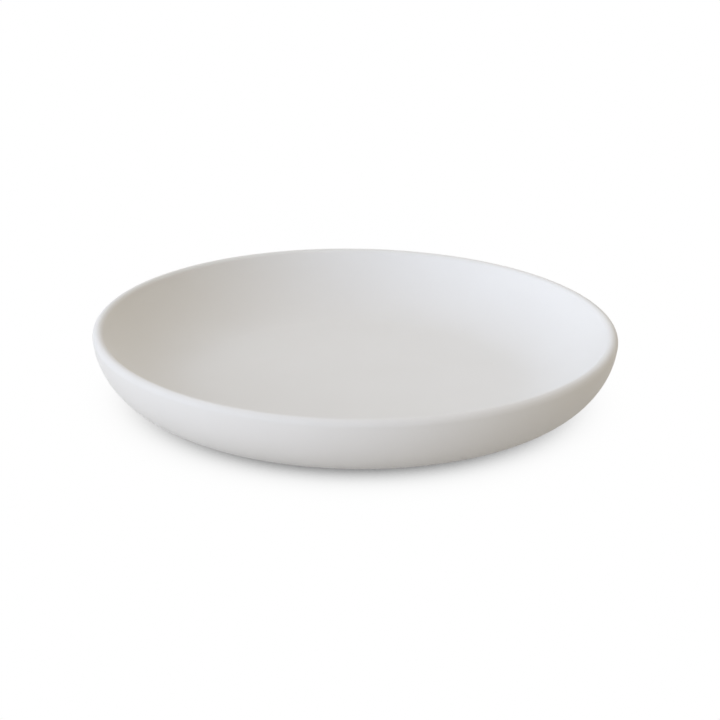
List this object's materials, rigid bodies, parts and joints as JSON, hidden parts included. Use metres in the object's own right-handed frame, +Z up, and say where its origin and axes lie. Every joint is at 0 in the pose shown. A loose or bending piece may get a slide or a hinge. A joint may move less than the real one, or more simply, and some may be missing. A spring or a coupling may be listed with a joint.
{
  "type": "coupe dinner plate",
  "caption": "Round coupe dinner plate of matte white glazed stoneware, with a flat well whose wall curves up into a thick rounded lip, on a low bare foot ring.",
  "frame": {"origin": "centre of the foot ring's standing face, on the table", "axes": "+Z up along the plate's axis, out of the well; X and Y are free, because the plate is round"},
  "size_m": [0.26, 0.26, 0.0355],
  "materials": {
    "clay": "bare fired stoneware with a fine grain",
    "glaze": "smooth matte white glaze"
  },
  "bodies": {
    "root": {"clay_body": "clay", "glaze_coat": "glaze", "base_glaze": "glaze"}
  },
  "joints": []
}
